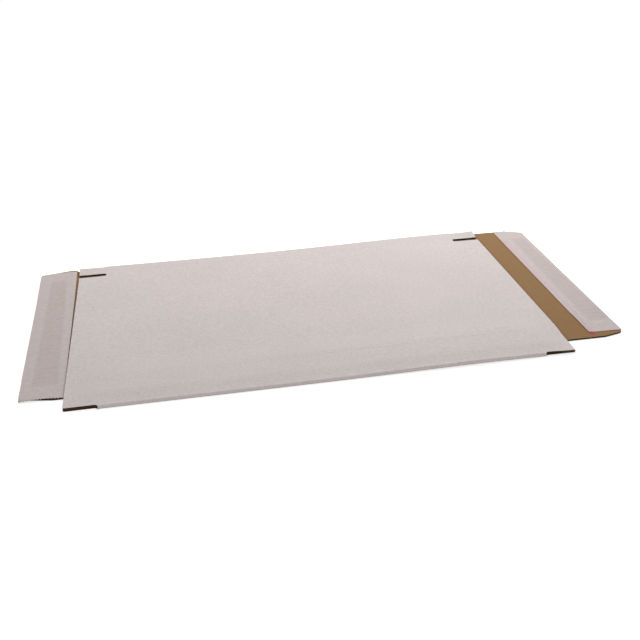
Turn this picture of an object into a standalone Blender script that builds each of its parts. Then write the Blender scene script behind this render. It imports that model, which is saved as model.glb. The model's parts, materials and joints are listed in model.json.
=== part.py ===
"""Letterbox mailer box, folded flat: a glued tube of thin corrugated board with a closure flap at each end.

Metres, +Z up. X runs along the box from the left closure flap to the right one, Y from the front fold to
the back fold, and the underside of the bottom panel lies at Z = 0 with its middle near the origin.
"""
import math

import bmesh
import bpy
from mathutils import Vector

# Board and set-up box, from crease to crease
BOARD = 0.0015
INNER_LENGTH = 0.3485
PANEL_WIDTH = 0.2500
BOX_HEIGHT = 0.0185

# Slots that free the dust flaps, on every long crease at both ends
SLOT_LENGTH = 0.0258
SLOT_WIDTH = 0.0050

# The glued tube, pressed flat
GLUE_TAB_WIDTH = 0.0220
TAB_SETTLE = 0.0300
LAYER_GAP = 0.0002
BACK_OPENING = 0.0010
PINCH_X = 0.0
PINCH_REACH = 0.0850
OPENING_START = 0.1150
FOLD_OVAL = 0.3

# Closure flaps and their creases
CREASE_SETBACK = 0.0019
CREASE_GAP = 0.0003
WALL_ALLOWANCE = 0.00075
FLAP_SIDE_CLEARANCE = 0.0002
LEFT_FLAP_LENGTH = 0.0334
LEFT_STRAIGHT = 0.0070
LEFT_TAPER = 0.0055
LEFT_CORNER = 0.0030
RIGHT_FLAP_LENGTH = 0.0302
RIGHT_STRAIGHT = 0.0130
RIGHT_FRONT_TAPER = 0.0045
RIGHT_BACK_TAPER = 0.0075
RIGHT_CORNER = 0.0045

# Adhesive, tear tape and peel-off liners on the flaps' inner faces
FILM = 0.0001
FILM_GAP = 0.00005
LEFT_LINER_START = 0.0015
LEFT_LINER_WIDTH = 0.0315
LEFT_LINER_OVERHANG = 0.0010
LEFT_LINER_BACK_MARGIN = 0.0010
LEFT_ADHESIVE_START = 0.0090
LEFT_ADHESIVE_WIDTH = 0.0170
ADHESIVE_END_MARGIN = 0.0280
RIGHT_LINER_START = 0.0032
RIGHT_LINER_FRONT_MARGIN = 0.0065
RIGHT_LINER_BACK_MARGIN = 0.0002
RIGHT_LINER_TIP_MARGIN = 0.0002
TAPE_START = 0.0026
TAPE_WIDTH = 0.0044
TAPE_FRONT_MARGIN = 0.0040
RIGHT_ADHESIVE_START = 0.0080
RIGHT_ADHESIVE_WIDTH = 0.0195

# Fineness of the curved surfaces
STATIONS = 17
ARC_STEPS = 6
PANEL_STEPS = 8
CUT_MARGIN = 0.0040

PANEL_LENGTH = INNER_LENGTH + 2 * SLOT_LENGTH
DEPTH = PANEL_WIDTH + BOX_HEIGHT
FRONT = -DEPTH / 2
PANEL_END = PANEL_LENGTH / 2
FOLD_RADIUS = BOARD + LAYER_GAP / 2
TAB_END = BOX_HEIGHT + GLUE_TAB_WIDTH
HINGE_X = PANEL_END + CREASE_SETBACK
WALL_LENGTH = BOX_HEIGHT + WALL_ALLOWANCE
FLAP_EDGE_SETBACK = SLOT_WIDTH / 2 + FLAP_SIDE_CLEARANCE
FLAP_FRONT = FRONT + BOX_HEIGHT + FLAP_EDGE_SETBACK
FLAP_BACK = -FRONT - FLAP_EDGE_SETBACK
FILM_BASE = BOARD + FILM_GAP
LINER_BASE = FILM_BASE + FILM + FILM_GAP


def clear_scene():
    for obj in list(bpy.data.objects):
        bpy.data.objects.remove(obj, do_unlink=True)


def make_material(name, colour, roughness):
    material = bpy.data.materials.new(name)
    material.use_nodes = True
    shader = material.node_tree.nodes["Principled BSDF"]
    shader.inputs["Base Color"].default_value = (*colour, 1.0)
    shader.inputs["Roughness"].default_value = roughness
    shader.inputs["Metallic"].default_value = 0.0
    return material


def object_from_bmesh(name, shape, material=None):
    bmesh.ops.recalc_face_normals(shape, faces=shape.faces)
    mesh = bpy.data.meshes.new(name)
    shape.to_mesh(mesh)
    shape.free()
    obj = bpy.data.objects.new(name, mesh)
    bpy.context.scene.collection.objects.link(obj)
    if material:
        mesh.materials.append(material)
    return obj


def make_cutter(obj):
    """Keeps an object out of the model: it only cuts or is joined by a modifier."""
    obj.hide_render = True
    obj.display_type = "WIRE"
    return obj


def add_boolean(obj, other, operation):
    modifier = obj.modifiers.new(other.name, "BOOLEAN")
    modifier.object = other
    modifier.operation = operation
    modifier.solver = "EXACT"


def smooth(value):
    """0 below 0, 1 above 1, and the curve 3v^2 - 2v^3 between them."""
    held = min(max(value, 0.0), 1.0)
    return held * held * (3.0 - 2.0 * held)


def opening_at(x):
    """How far the layers stand apart at the back fold: tight at the pinched middle, open at the ends."""
    return BACK_OPENING * (1.0 - math.exp(-(((x - PINCH_X) / PINCH_REACH) ** 2)))


def strip_rise(y):
    """Height of the front strip's underside: on the floor at the fold, on the bottom panel at its crease."""
    return BOARD * smooth((y - FOLD_RADIUS) / (BOX_HEIGHT - FOLD_RADIUS))


def top_underside(y, opening, back_centre):
    """Height of the top layer's underside: over the strip and tab, then settling, then rising to the back."""
    over_tab = strip_rise(y) * (1.0 - smooth((y - TAB_END) / TAB_SETTLE))
    rise = opening * smooth((y - OPENING_START) / (back_centre - OPENING_START))
    return BOARD + LAYER_GAP + over_tab + rise


def strip_stations():
    return [FOLD_RADIUS + (BOX_HEIGHT - FOLD_RADIUS) * step / 4 for step in range(5)]


def top_stations(back_centre):
    """Distances from the front fold at which the top layer is worked out."""
    over_tab = [(BOX_HEIGHT + TAB_END) / 2, TAB_END]
    settle = [TAB_END + TAB_SETTLE * step / 4 for step in range(1, 5)]
    start = TAB_END + TAB_SETTLE
    panel = [start + (back_centre - start) * step / PANEL_STEPS for step in range(1, PANEL_STEPS + 1)]
    return strip_stations() + over_tab + settle + panel


def arc(centre_y, centre_z, half_width, half_height, start, end):
    """Points of an ellipse between two angles in degrees, without its ends; 0 points along +Y."""
    points = []
    for step in range(1, ARC_STEPS * 2):
        angle = math.radians(start + (end - start) * step / (ARC_STEPS * 2))
        points.append((centre_y + half_width * math.cos(angle), centre_z + half_height * math.sin(angle)))
    return points


def outer_section(x):
    """The tube's outside at x: top from front to back, round the back fold, underside, strip, front fold."""
    opening = opening_at(x)
    half_height = FOLD_RADIUS + opening / 2
    half_width = FOLD_RADIUS + FOLD_OVAL * opening
    back_centre = DEPTH - half_width
    top = [(y, top_underside(y, opening, back_centre) + BOARD) for y in top_stations(back_centre)]
    back = arc(back_centre, half_height, half_width, half_height, 90, -90)
    bottom = [(back_centre, 0.0), (BOX_HEIGHT, 0.0)]
    strip = [(y, strip_rise(y)) for y in reversed(strip_stations())]
    front = arc(FOLD_RADIUS, FOLD_RADIUS, FOLD_RADIUS, FOLD_RADIUS, 270, 90)
    return top + back + bottom + strip + front


def inner_section(x):
    """The tube's inside at x, in the same order as its outside, with the glued tab between its ends."""
    opening = opening_at(x)
    half_height = FOLD_RADIUS + opening / 2
    half_width = FOLD_RADIUS + FOLD_OVAL * opening
    back_centre = DEPTH - half_width
    top = [(y, top_underside(y, opening, back_centre)) for y in top_stations(back_centre)]
    back = arc(back_centre, half_height, half_width - BOARD, half_height - BOARD, 90, -90)
    bottom = [(back_centre, BOARD), (TAB_END, BOARD), (TAB_END, 2 * BOARD)]
    strip = [(y, strip_rise(y) + BOARD) for y in reversed(strip_stations())]
    gap = LAYER_GAP / 2
    front = arc(FOLD_RADIUS, FOLD_RADIUS, gap, gap, 270, 90)
    return top + back + bottom + strip + front


def loft_along_x(name, section, reach):
    """A closed solid from -reach to reach along X, whose cross-sections are those of the panel's length."""
    shape = bmesh.new()
    rings = []
    for station in range(STATIONS):
        share = 2 * station / (STATIONS - 1) - 1
        profile = section(share * PANEL_END)
        rings.append([shape.verts.new((share * reach, y + FRONT, z)) for y, z in profile])
    for one, two in zip(rings, rings[1:]):
        for index in range(len(one)):
            following = (index + 1) % len(one)
            shape.faces.new((one[index], one[following], two[following], two[index]))
    shape.faces.new(rings[0])
    shape.faces.new(rings[-1])
    return object_from_bmesh(name, shape)


def prism(shape, outline, low, high):
    """Adds the outline, a list of (x, y), to the bmesh as a solid from low to high."""
    base = [shape.verts.new((x, y, low)) for x, y in outline]
    face = shape.faces.new(base)
    raised = bmesh.ops.extrude_face_region(shape, geom=[face])
    moved = [item for item in raised["geom"] if isinstance(item, bmesh.types.BMVert)]
    bmesh.ops.translate(shape, verts=moved, vec=Vector((0.0, 0.0, high - low)))


def slot_outline(side, y):
    """A slot open at the panel's end, with a round inner end; side is -1 at the left and 1 at the right."""
    radius = SLOT_WIDTH / 2
    inner = PANEL_END - SLOT_LENGTH + radius
    outer = PANEL_END + CREASE_SETBACK + CUT_MARGIN
    steps = ARC_STEPS * 2
    points = [(side * outer, y - radius)]
    for step in range(steps + 1):
        angle = math.pi * step / steps
        points.append((side * (inner - radius * math.sin(angle)), y - radius * math.cos(angle)))
    points.append((side * outer, y + radius))
    return points


def make_slot_cutter():
    """The slots: through both layers at the two folds, and through one layer at the crease of each panel."""
    shape = bmesh.new()
    above = 2 * BOARD + LAYER_GAP + BOARD + BACK_OPENING + CUT_MARGIN
    in_gap = BOARD + LAYER_GAP / 2
    over_tab = 2 * BOARD + LAYER_GAP / 4
    for side in (-1, 1):
        prism(shape, slot_outline(side, FRONT), -CUT_MARGIN, above)
        prism(shape, slot_outline(side, -FRONT), -CUT_MARGIN, above)
        prism(shape, slot_outline(side, FRONT + PANEL_WIDTH), in_gap, above)
        prism(shape, slot_outline(side, FRONT + BOX_HEIGHT), -CUT_MARGIN, over_tab)
    return make_cutter(object_from_bmesh("slot_cutter", shape))


def make_root_strips():
    """The short strips by which the bottom panel reaches past the top panel to the end creases."""
    shape = bmesh.new()
    sunk = BOARD * 0.01
    for side in (-1, 1):
        inside = side * (PANEL_END - CREASE_SETBACK)
        outside = side * (HINGE_X - CREASE_GAP / 2)
        outline = [(inside, FLAP_FRONT), (outside, FLAP_FRONT), (outside, FLAP_BACK), (inside, FLAP_BACK)]
        prism(shape, outline, sunk, BOARD - sunk)
    return make_cutter(object_from_bmesh("root_strips", shape))


def make_sleeve(material):
    """The folded and glued tube: outside form less inside form and slots, with the root strips joined on."""
    sleeve = loft_along_x("box_sleeve", outer_section, PANEL_END)
    sleeve.data.materials.append(material)
    hollow = make_cutter(loft_along_x("hollow_cutter", inner_section, PANEL_END + CUT_MARGIN))
    add_boolean(sleeve, hollow, "DIFFERENCE")
    add_boolean(sleeve, make_slot_cutter(), "DIFFERENCE")
    add_boolean(sleeve, make_root_strips(), "UNION")
    return sleeve


def rounded(corners):
    """An outline from (u, y, radius) corners, each radius above 0 drawn as an arc that touches both sides."""
    points = []
    for index, (u, y, radius) in enumerate(corners):
        here = Vector((u, y))
        if radius <= 0.0:
            points.append((u, y))
            continue
        before = (Vector(corners[index - 1][:2]) - here).normalized()
        after = (Vector(corners[(index + 1) % len(corners)][:2]) - here).normalized()
        half = before.angle(after) / 2
        reach = radius / math.tan(half)
        centre = here + (before + after).normalized() * (radius / math.sin(half))
        first = here + before * reach - centre
        last = here + after * reach - centre
        turn = first.angle_signed(last)
        for step in range(ARC_STEPS + 1):
            angle = -turn * step / ARC_STEPS
            spoke = Vector((
                first.x * math.cos(angle) - first.y * math.sin(angle),
                first.x * math.sin(angle) + first.y * math.cos(angle),
            ))
            points.append(tuple(centre + spoke))
    return points


def flap_piece(name, side, corners, low, high, hinge, material, parent=None):
    """A flat piece on a flap. Corners count outwards from the hinge; the object's origin is on its axis."""
    shape = bmesh.new()
    outline = [(side * u, y) for u, y in rounded(corners)]
    prism(shape, outline, low - BOARD, high - BOARD)
    piece = object_from_bmesh(name, shape, material)
    if parent:
        piece.parent = parent
    else:
        piece.location = hinge
    return piece


def make_left_flap(board, glue, paper):
    hinge = Vector((-HINGE_X, 0.0, BOARD))
    root = CREASE_GAP / 2
    flap = flap_piece("left_closure_flap", -1, [
        (root, FLAP_FRONT, 0.0),
        (LEFT_STRAIGHT, FLAP_FRONT, 0.0),
        (LEFT_FLAP_LENGTH, FLAP_FRONT + LEFT_TAPER, LEFT_CORNER),
        (LEFT_FLAP_LENGTH, FLAP_BACK - LEFT_TAPER, LEFT_CORNER),
        (LEFT_STRAIGHT, FLAP_BACK, 0.0),
        (root, FLAP_BACK, 0.0),
    ], 0.0, BOARD, hinge, board)
    adhesive_end = LEFT_ADHESIVE_START + LEFT_ADHESIVE_WIDTH
    flap_piece("left_adhesive_strip", -1, [
        (LEFT_ADHESIVE_START, FLAP_FRONT + ADHESIVE_END_MARGIN, 0.0),
        (adhesive_end, FLAP_FRONT + ADHESIVE_END_MARGIN, 0.0),
        (adhesive_end, FLAP_BACK - ADHESIVE_END_MARGIN, 0.0),
        (LEFT_ADHESIVE_START, FLAP_BACK - ADHESIVE_END_MARGIN, 0.0),
    ], FILM_BASE, FILM_BASE + FILM, hinge, glue, flap)
    liner_front = FLAP_FRONT - LEFT_LINER_OVERHANG
    liner_back = FLAP_BACK - LEFT_LINER_BACK_MARGIN
    liner_end = LEFT_LINER_START + LEFT_LINER_WIDTH
    flap_piece("left_release_liner", -1, [
        (LEFT_LINER_START, liner_front, 0.0),
        (liner_end, liner_front, 0.0),
        (liner_end, liner_back - LEFT_TAPER, LEFT_CORNER),
        (LEFT_STRAIGHT, liner_back, 0.0),
        (LEFT_LINER_START, liner_back, 0.0),
    ], LINER_BASE, LINER_BASE + FILM, hinge, paper, flap)


def make_right_wall(board):
    hinge = Vector((HINGE_X, 0.0, BOARD))
    start = CREASE_GAP / 2
    end = WALL_LENGTH - CREASE_GAP / 2
    return flap_piece("right_end_wall", 1, [
        (start, FLAP_FRONT, 0.0),
        (end, FLAP_FRONT, 0.0),
        (end, FLAP_BACK, 0.0),
        (start, FLAP_BACK, 0.0),
    ], 0.0, BOARD, hinge, board)


def make_right_flap(wall, board, glue, paper, tape_red):
    flap = flap_piece("right_closure_flap", 1, [
        (CREASE_GAP / 2, FLAP_FRONT, 0.0),
        (RIGHT_STRAIGHT, FLAP_FRONT, 0.0),
        (RIGHT_FLAP_LENGTH, FLAP_FRONT + RIGHT_FRONT_TAPER, RIGHT_CORNER),
        (RIGHT_FLAP_LENGTH, FLAP_BACK - RIGHT_BACK_TAPER, RIGHT_CORNER),
        (RIGHT_STRAIGHT, FLAP_BACK, 0.0),
        (CREASE_GAP / 2, FLAP_BACK, 0.0),
    ], 0.0, BOARD, None, board, wall)
    flap.location = (WALL_LENGTH, 0.0, 0.0)
    tape_end = TAPE_START + TAPE_WIDTH
    flap_piece("tear_tape", 1, [
        (TAPE_START, FLAP_FRONT + TAPE_FRONT_MARGIN, 0.0),
        (tape_end, FLAP_FRONT + TAPE_FRONT_MARGIN, 0.0),
        (tape_end, FLAP_BACK - RIGHT_LINER_BACK_MARGIN, 0.0),
        (TAPE_START, FLAP_BACK - RIGHT_LINER_BACK_MARGIN, 0.0),
    ], FILM_BASE, FILM_BASE + FILM, None, tape_red, flap)
    adhesive_end = RIGHT_ADHESIVE_START + RIGHT_ADHESIVE_WIDTH
    flap_piece("right_adhesive_strip", 1, [
        (RIGHT_ADHESIVE_START, FLAP_FRONT + ADHESIVE_END_MARGIN, 0.0),
        (adhesive_end, FLAP_FRONT + ADHESIVE_END_MARGIN, 0.0),
        (adhesive_end, FLAP_BACK - ADHESIVE_END_MARGIN, 0.0),
        (RIGHT_ADHESIVE_START, FLAP_BACK - ADHESIVE_END_MARGIN, 0.0),
    ], FILM_BASE, FILM_BASE + FILM, None, glue, flap)
    liner_front = FLAP_FRONT + RIGHT_LINER_FRONT_MARGIN
    liner_back = FLAP_BACK - RIGHT_LINER_BACK_MARGIN
    liner_end = RIGHT_FLAP_LENGTH - RIGHT_LINER_TIP_MARGIN
    flap_piece("right_release_liner", 1, [
        (RIGHT_LINER_START, liner_front, 0.0),
        (liner_end, liner_front, 0.0),
        (liner_end, liner_back - RIGHT_BACK_TAPER, RIGHT_CORNER),
        (RIGHT_STRAIGHT, liner_back, 0.0),
        (RIGHT_LINER_START, liner_back, 0.0),
    ], LINER_BASE, LINER_BASE + FILM, None, paper, flap)


def build():
    clear_scene()
    white_board = make_material("white_lined_board", (0.56, 0.53, 0.52), 0.85)
    kraft_board = make_material("kraft_board", (0.31, 0.19, 0.10), 0.90)
    paper = make_material("liner_paper", (0.51, 0.46, 0.45), 0.55)
    glue = make_material("adhesive", (0.60, 0.56, 0.48), 0.35)
    tape_red = make_material("tear_tape_film", (0.40, 0.03, 0.06), 0.30)
    make_sleeve(white_board)
    make_left_flap(kraft_board, glue, paper)
    wall = make_right_wall(kraft_board)
    make_right_flap(wall, kraft_board, glue, paper, tape_red)


build()
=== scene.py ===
"""Letterbox mailer box, glued and folded flat: the finish of every surface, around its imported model.

The file is laid out as an add-on and run as a script. Metres, +Z up. X runs from the left closure flap
to the right one, which carries the tear tape, and Y from the front fold to the back fold.
"""

import json

import bpy
import numpy as np
from bpy.props import FloatProperty, FloatVectorProperty, PointerProperty
from mathutils import Matrix, Vector


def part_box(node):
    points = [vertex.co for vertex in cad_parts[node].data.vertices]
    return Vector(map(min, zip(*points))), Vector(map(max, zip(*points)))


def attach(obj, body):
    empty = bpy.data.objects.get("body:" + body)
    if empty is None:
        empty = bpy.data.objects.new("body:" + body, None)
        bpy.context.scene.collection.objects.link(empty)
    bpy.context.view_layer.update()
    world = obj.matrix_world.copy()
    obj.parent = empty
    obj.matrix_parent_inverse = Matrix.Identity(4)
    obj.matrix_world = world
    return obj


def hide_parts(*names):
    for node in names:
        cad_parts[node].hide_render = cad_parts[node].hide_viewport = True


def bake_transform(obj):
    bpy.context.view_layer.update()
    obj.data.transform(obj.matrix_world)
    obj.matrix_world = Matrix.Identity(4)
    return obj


bl_info = {
    "name": "Letterbox mailer box",
    "version": (1, 0, 0),
    "blender": (4, 5, 0),
    "location": "3D View > Sidebar > Mailer",
    "description": "Board, liners, tear tape and stage of a letterbox mailer box folded flat",
    "category": "Object",
}

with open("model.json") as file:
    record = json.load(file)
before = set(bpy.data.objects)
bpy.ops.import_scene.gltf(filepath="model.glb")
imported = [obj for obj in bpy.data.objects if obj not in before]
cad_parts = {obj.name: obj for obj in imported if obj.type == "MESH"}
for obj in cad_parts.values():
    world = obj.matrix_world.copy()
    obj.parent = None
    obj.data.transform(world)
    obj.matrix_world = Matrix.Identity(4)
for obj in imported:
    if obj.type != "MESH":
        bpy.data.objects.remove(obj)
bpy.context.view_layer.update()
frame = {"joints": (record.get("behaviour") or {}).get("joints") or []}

MM = 0.001

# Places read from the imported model
SLEEVE_LOW, SLEEVE_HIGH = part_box("box_sleeve")
LEFT_FLAP_LOW, LEFT_FLAP_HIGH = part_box("left_closure_flap")
RIGHT_FLAP_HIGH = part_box("right_closure_flap")[1]
LEFT_LINER_LOW, LEFT_LINER_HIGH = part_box("left_release_liner")
RIGHT_LINER_LOW, RIGHT_LINER_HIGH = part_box("right_release_liner")
LEFT_GLUE_LOW, LEFT_GLUE_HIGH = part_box("left_adhesive_strip")
RIGHT_GLUE_LOW, RIGHT_GLUE_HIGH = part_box("right_adhesive_strip")
TAPE_LOW, TAPE_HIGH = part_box("tear_tape")
HINGES = {joint["name"]: Vector(joint["pos_m"]) for joint in frame["joints"]}
LEFT_HINGE = HINGES["left_flap_crease"]
WALL_HINGE = HINGES["right_wall_crease"]
RIGHT_HINGE = HINGES["right_flap_crease"]
BOARD = LEFT_FLAP_HIGH.z - LEFT_FLAP_LOW.z
DEPTH = SLEEVE_HIGH.y - SLEEVE_LOW.y
FRONT = SLEEVE_LOW.y
FLAP_FRONT = LEFT_FLAP_LOW.y
FLAP_BACK = LEFT_FLAP_HIGH.y

# The folded sheet
CREASE_SETBACK = 1.9 * MM
PANEL_END = WALL_HINGE.x - CREASE_SETBACK
FOLD_OVAL = 0.3
HAIRLINE = 0.02 * MM
CORE_INSET = 0.15 * MM
LINER_LAP = 0.9
FLUTE_DEPTH = 11.5 * MM
FLUTE_RECESS = 0.35 * MM
FLUTE_THICKNESS = 0.16 * MM
ROOT_LAP = 1.0 * MM
SEAM_SETBACK = 2.0 * MM
CREASE_HALF = 1.2 * MM
CREASE_GROOVE = 0.35 * MM
NICK_HEIGHT = 0.55 * MM
NICK_REACH = 0.5 * MM
LEFT_NICKS = (81.4 * MM, 33.3 * MM, -41.7 * MM, -78.8 * MM)
RIGHT_NICKS = (50.1 * MM, -86.5 * MM)
NECK_MARGIN = 4.0 * MM
BURR_REACH = 3.4 * MM
BURR_HALF = 1.1 * MM

# How this sheet lies: where the tube bows, where its back ends curl, and how its right front end leans
BOW_MIDDLE = 118 * MM
BOW_WIDTH = 72 * MM
CURL_REACH = 12 * MM
CURL_SETBACK = 4 * MM
LEAN = 1.2 * MM
LEAN_FROM = 24 * MM
LEAN_OVER = 20 * MM

# Marks in the top panel: a window is its start and end and the soft stretch inside each
FLUTES_SHOWN_X = (-193 * MM, -98 * MM, 12 * MM, 30 * MM)
FLUTES_SHOWN_Y = (10 * MM, 23.5 * MM, 4 * MM, 4 * MM)
FLUTE_CREST = 17.2 * MM
TAB_SHOWN_X = (-80 * MM, 174 * MM, 30 * MM, 4 * MM)
CREASE_SHOWN_X = (-172 * MM, 172 * MM, 4 * MM, 4 * MM)

# Closure flaps: where the outline leaves the straight, how far it tapers by the tip, and the corners
LEFT_STRAIGHT = 7.0 * MM
LEFT_TAPER = 5.5 * MM
LEFT_CORNER = 3.0 * MM
LEFT_SKEW = 0.26
LEFT_LIFT = 2.2 * MM
LIFT_FROM = 50 * MM
LIFT_OVER = 80 * MM
RIGHT_STRAIGHT = 13.0 * MM
RIGHT_FRONT_TAPER = 4.5 * MM
RIGHT_BACK_TAPER = 7.5 * MM
RIGHT_CORNER = 4.5 * MM

# Films: how far the adhesive, the tape and the liners lie above the board, and the liner's torn outer edge
GLUE_GAP = 0.04 * MM
TAPE_GAP = 0.05 * MM
TAPE_THICKNESS = 0.07 * MM
TAPE_SHIFT = -0.6 * MM
LINER_GAP = 0.07 * MM
LINER_RAISED = 0.13 * MM
TICK_PITCH = 3.1 * MM
TICK_HEIGHT = 0.6 * MM

# The photograph's camera: lens for a sensor 36 mm wide, place, heading, dip and roll in radians
CAMERA_LENS = 53.10
CAMERA_SHIFT_X = 0.0033
CAMERA_PLACE = (-0.10488, -0.75157, 0.36369)
CAMERA_HEADING = 0.1566
CAMERA_DIP = 0.4595
CAMERA_ROLL = -0.0367

# Soft light: each lamp's name, place, side and power in watts, the sky's strength and the floor's glow
LAMPS = (
    ("key_lamp", (0.36, 0.52, 0.58), 0.3, 4.0),
    ("fill_lamp", (-0.30, 0.55, 0.60), 0.4, 1.6),
    ("front_lamp", (-0.10, -0.95, 0.30), 0.5, 1.4),
)
SKY = 0.5
FLOOR_REACH = 6.0
FLOOR_DROP = 0.1 * MM
FLOOR_GLOW = 0.62
FLOOR_TONE = (0.8, 0.8, 0.8, 1.0)

# Face groups of a slab
HIGH, LOW, SIDE = 0, 1, 2


class BoardSizes(bpy.types.PropertyGroup):
    """Sizes of the corrugated board and of the tube folded from it."""

    liner: FloatProperty(
        name="Liner", description="Thickness of each flat paper of the board",
        default=0.2 * MM, precision=5, unit="LENGTH", subtype="DISTANCE")
    flute_pitch: FloatProperty(
        name="Flute pitch", description="Distance from one flute to the next",
        default=3.0 * MM, precision=5, unit="LENGTH", subtype="DISTANCE")
    side_height: FloatProperty(
        name="Side height", description="Width of the side strips, from crease to crease",
        default=18.5 * MM, precision=5, unit="LENGTH", subtype="DISTANCE")
    glue_tab: FloatProperty(
        name="Glue tab", description="Width of the tab glued to the bottom panel",
        default=22.0 * MM, precision=5, unit="LENGTH", subtype="DISTANCE")
    tab_settle: FloatProperty(
        name="Settling", description="Distance over which the top layer comes down behind the tab",
        default=30.0 * MM, precision=5, unit="LENGTH", subtype="DISTANCE")
    slot_length: FloatProperty(
        name="Slot length", description="Length of the slots at the ends of the long creases",
        default=25.8 * MM, precision=5, unit="LENGTH", subtype="DISTANCE")
    slot_width: FloatProperty(
        name="Slot width", description="Width of the slots at the ends of the long creases",
        default=5.0 * MM, precision=5, unit="LENGTH", subtype="DISTANCE")
    slot_spread: FloatProperty(
        name="Slot spread", description="How far the back crease's slots are pressed open to the front",
        default=1.1 * MM, precision=5, unit="LENGTH", subtype="DISTANCE")
    layer_gap: FloatProperty(
        name="Layer gap", description="Air between the layers where the tube is pressed flat",
        default=0.2 * MM, precision=5, unit="LENGTH", subtype="DISTANCE")
    back_opening: FloatProperty(
        name="Back opening", description="How far the back fold stays open at the ends",
        default=1.6 * MM, precision=5, unit="LENGTH", subtype="DISTANCE")
    corner_curl: FloatProperty(
        name="Corner curl", description="How far the ends of the back side strip curl up",
        default=0.4 * MM, precision=5, unit="LENGTH", subtype="DISTANCE")
    bow_height: FloatProperty(
        name="Bow", description="How far the flat tube bows up off the table near its right end",
        default=1.0 * MM, precision=5, unit="LENGTH", subtype="DISTANCE")
    relief: FloatProperty(
        name="Relief", description="Height of the ridges that the layers below press into the top panel",
        default=0.15 * MM, precision=6, unit="LENGTH", subtype="DISTANCE")


class PaperSizes(bpy.types.PropertyGroup):
    """Sizes of the peel-off liners and what lies below them."""

    thickness: FloatProperty(
        name="Thickness", description="Thickness of the peel-off liners, drawn a little heavy",
        default=0.1 * MM, precision=5, unit="LENGTH", subtype="DISTANCE")
    tooth_pitch: FloatProperty(
        name="Tooth pitch", description="Distance between the teeth of the torn-off ends",
        default=2.7 * MM, precision=5, unit="LENGTH", subtype="DISTANCE")
    tooth_height: FloatProperty(
        name="Tooth height", description="Height of those teeth",
        default=0.8 * MM, precision=5, unit="LENGTH", subtype="DISTANCE")
    wrinkle: FloatProperty(
        name="Wrinkle", description="Height of the cross wrinkles over the adhesive",
        default=0.16 * MM, precision=6, unit="LENGTH", subtype="DISTANCE")


class FinishColours(bpy.types.PropertyGroup):
    """Colours of the materials."""

    white: FloatVectorProperty(
        name="White liner", description="Outside of the board",
        default=(0.580, 0.522, 0.510), size=3, min=0.0, max=1.0, subtype="COLOR")
    kraft: FloatVectorProperty(
        name="Kraft liner", description="Inside of the board",
        default=(0.254, 0.147, 0.064), size=3, min=0.0, max=1.0, subtype="COLOR")
    # Cut-edge colour: darker than the real kraft edge, darkened as painted shade for the shadow in the
    # notches, slots and gaps where the edges lie
    cut_edge_and_shade: FloatVectorProperty(
        name="Cut edge and shade", description="Flutes seen along the cut edges",
        default=(0.032, 0.019, 0.011), size=3, min=0.0, max=1.0, subtype="COLOR")
    paper: FloatVectorProperty(
        name="Liner paper", description="Peel-off liners",
        default=(0.466, 0.404, 0.387), size=3, min=0.0, max=1.0, subtype="COLOR")
    paper_on_glue: FloatVectorProperty(
        name="Liner over adhesive", description="Peel-off liners where the adhesive shows through",
        default=(0.428, 0.361, 0.341), size=3, min=0.0, max=1.0, subtype="COLOR")
    paper_on_tape: FloatVectorProperty(
        name="Liner over tape", description="Peel-off liner where the red tape shows through",
        default=(0.495, 0.375, 0.382), size=3, min=0.0, max=1.0, subtype="COLOR")
    adhesive: FloatVectorProperty(
        name="Adhesive", description="Pressure-sensitive adhesive",
        default=(0.600, 0.560, 0.480), size=3, min=0.0, max=1.0, subtype="COLOR")
    tape: FloatVectorProperty(
        name="Tear tape", description="Red tear-open film",
        default=(0.400, 0.030, 0.060), size=3, min=0.0, max=1.0, subtype="COLOR")


# Grids and slabs

def smooth(value):
    """0 below 0, 1 above 1, and the curve 3v^2 - 2v^3 between them."""
    held = np.clip(value, 0.0, 1.0)
    return held * held * (3.0 - 2.0 * held)


def bell(distance, width):
    """1 at no distance, and e to the minus square of the distance in widths elsewhere."""
    return np.exp(-((distance / width) ** 2))


def window(value, start, end, soft_start, soft_end):
    """1 between two places and 0 outside them, with a soft stretch inside each."""
    return smooth((value - start) / soft_start) * smooth((end - value) / soft_end)


def stations(stops, steps):
    """Places from the first stop to the last, with each stretch between two stops cut into its steps."""
    stretches = [np.linspace(one, two, count + 1) for one, two, count in zip(stops, stops[1:], steps)]
    return np.unique(np.round(np.concatenate(stretches), 9))


def grid(rows, columns):
    """A plan of one grid: point (row, column) lies at (rows[row], columns[row, column])."""
    columns = np.broadcast_to(columns, (len(rows), np.shape(columns)[-1]))
    points = np.stack([np.repeat(rows, columns.shape[1]), columns.ravel()], axis=1)
    wide = columns.shape[1]
    first = (np.arange(len(rows) - 1)[:, None] * wide + np.arange(wide - 1)).ravel()
    return points, np.stack([first, first + 1, first + wide + 1, first + wide], axis=1)


def weld(plans):
    """One plan from several: points closer than a tenth of a micrometre become one."""
    points = np.concatenate([plan[0] for plan in plans])
    starts = np.cumsum([0] + [len(plan[0]) for plan in plans[:-1]])
    quads = np.concatenate([plan[1] + start for plan, start in zip(plans, starts)])
    places = np.round(points * 1e7).astype(np.int64)
    _, kept, merged = np.unique(places, axis=0, return_index=True, return_inverse=True)
    return points[kept], merged.reshape(-1)[quads]


def outward(vertices, faces):
    """The faces turned so that the volume that they enclose, summed from triple products, is positive."""
    one, two, three, four = (vertices[faces[:, corner]] for corner in range(4))
    volume = np.sum(np.cross(one, two) * three) + np.sum(np.cross(one, three) * four)
    return faces if volume > 0 else faces[:, ::-1]


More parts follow.
